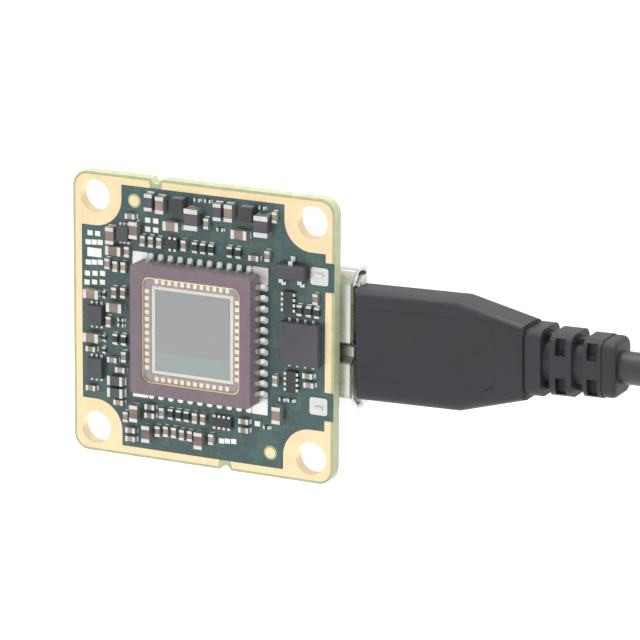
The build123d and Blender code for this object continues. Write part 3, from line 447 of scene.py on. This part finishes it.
# Packaged chips: filled black epoxy with a fine matt texture from the mould, held by their
# leads or by the solder balls under them.
epoxy = finish("filled_epoxy", (0.060, 0.058, 0.068), 0.5, vary=0.12, patch=500.0, bump=0.45, grain=9000.0)
dress(
    epoxy, "memory_chip", "power_ics", "transistor", "image_processor", "usb_controller",
    "flash_memory", "regulators",
)

# Oscillator, signal socket and status lamp behind: a plated steel can, cream nylon with
# gold pins, and clear epoxy, each soldered to the board.
dress(finish("can_nickel", (0.70, 0.69, 0.65), 0.3, metal=1.0, vary=0.04, bump=0.05), "oscillator")
dress(finish("socket_nylon", (0.74, 0.70, 0.60), 0.5, vary=0.05, bump=0.2), "io_socket")
dress(contact_gold, "io_socket_pins")
dress(finish("lens_epoxy", (0.75, 0.82, 0.62), 0.2, vary=0.04, bump=0.03, coat=0.5), "status_led")

# Pin-one dots: shallow polished round marks that the mould's ejector leaves in the epoxy
# of the larger chips. Each is x, z, y, radius in mm and the side of the board it is on.
DOTS = (
    (8.75, 1.25, -0.832, 0.22, -1),
    (-10.0, 2.4, 2.59, 0.32, 1),
    (-0.4, 2.4, 2.59, 0.32, 1),
    (-8.0, 10.6, 2.04, 0.25, 1),
)


def facing(x, y, z, face):
    """A place in mm on the front (-1) or the rear (1), turned to lie in the board's plane."""
    return Matrix.Translation((x * MM, y * MM, z * MM)) @ Matrix.Rotation(-face * math.pi / 2, 4, "X")


dots = bmesh.new()
for x, z, y, r, face in DOTS:
    bmesh.ops.create_circle(dots, cap_ends=True, segments=20, radius=r * MM, matrix=facing(x, y, z, face))
polished = finish("polished_epoxy", (0.035, 0.035, 0.037), 0.25, bump=0.05)
pin_dots = link("pin_one_dots", baked("pin_one_dots", dots), polished)
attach(pin_dots, "root")

# Vias: plated holes through the board under the mask, a small raised ring with a dark
# centre, wherever the board between the parts is free.
VIA_R = 0.15
VIA_RING = 0.06
VIA_HOLE_R = 0.09
VIA_CLEAR = 0.26
VIA_GAP = 0.45
VIA_GRID = 0.25
VIA_REACH = 12.3
VIA_TRIALS = 900
FILM_T = 0.012
random.seed(7)
graph = bpy.context.evaluated_depsgraph_get()
placed = []
rings = bmesh.new()
plugs = bmesh.new()
for face, mask_node, y in ((-1, "front_solder_mask", -0.03), (1, "rear_solder_mask", 1.23)):
    for trial in range(VIA_TRIALS):
        x = round(random.uniform(-VIA_REACH, VIA_REACH) / VIA_GRID) * VIA_GRID
        z = round(random.uniform(-VIA_REACH, VIA_REACH) / VIA_GRID) * VIA_GRID
        clear = True
        for dx, dz in ((0, 0), (1, 0), (-1, 0), (0, 1), (0, -1)):
            start = ((x + dx * VIA_CLEAR) * MM, face * 0.05, (z + dz * VIA_CLEAR) * MM)
            hit = scene.ray_cast(graph, start, (0.0, -face, 0.0))
            clear = clear and hit[0] and hit[4].name == mask_node
        near = [f for px, pz, f in placed if abs(x - px) < VIA_GAP and abs(z - pz) < VIA_GAP]
        if not clear or face in near:
            continue
        placed.append((x, z, face))
        turn = facing(x, y, z, face)
        made = bmesh.ops.create_circle(rings, cap_ends=True, segments=12, radius=VIA_R * MM, matrix=turn)
        disc = [f for v in made["verts"] for f in v.link_faces][0]
        bmesh.ops.inset_individual(rings, faces=[disc], thickness=VIA_RING * MM, depth=0.0)
        bmesh.ops.delete(rings, geom=[disc], context="FACES_ONLY")
        bmesh.ops.create_circle(
            plugs, cap_ends=True, segments=10, radius=VIA_HOLE_R * MM,
            matrix=Matrix.Translation((0.0, face * 0.004 * MM, 0.0)) @ turn,
        )
for shape, label, tint in (
    (rings, "via_rings", (0.075, 0.125, 0.10)), (plugs, "via_holes", (0.03, 0.045, 0.04)),
):
    bmesh.ops.solidify(shape, geom=shape.faces[:], thickness=-FILM_T * MM)
    film = finish(label + "_film", tint, 0.3, vary=0.1, bump=0.05, coat=0.3)
    piece = link(label, baked(label, shape), film)
    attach(piece, "root")

# Receptacle: folded stainless shell with chamfered corners at its mouth, soldered through
# the board by its legs, with a black insulator and gold contacts inside.
smooth_shell("receptacle_shell", steel, 25.0)
dress(finish("connector_black", (0.015, 0.015, 0.017), 0.4, bump=0.1), "receptacle_insulator")
dress(contact_gold, "receptacle_contacts", "plug_contacts")

# Plug: the same keyed steel nose in a one-piece vinyl moulding with a sunk grip panel and
# a slotted strain relief. The mould's parting line runs round it near half its thickness.
PARTING_Y = 2.9 * MM
PARTING_W = 0.05 * MM
smooth_shell("plug_nose", steel, 25.0)
dress(finish("nose_insulator", (0.70, 0.68, 0.62), 0.5, bump=0.1), "plug_insulator")
plug_vinyl = finish(
    "plug_vinyl", (0.020, 0.022, 0.026), 0.5, vary=0.15, patch=250.0, bump=0.9, grain=7500.0, specular=0.4
)
second_tone(plug_vinyl, (0.010, 0.011, 0.012), along(plug_vinyl, "Y", "COMPARE", PARTING_Y, PARTING_W))
smooth_shell("plug_overmold", plug_vinyl)

bpy.context.view_layer.update()
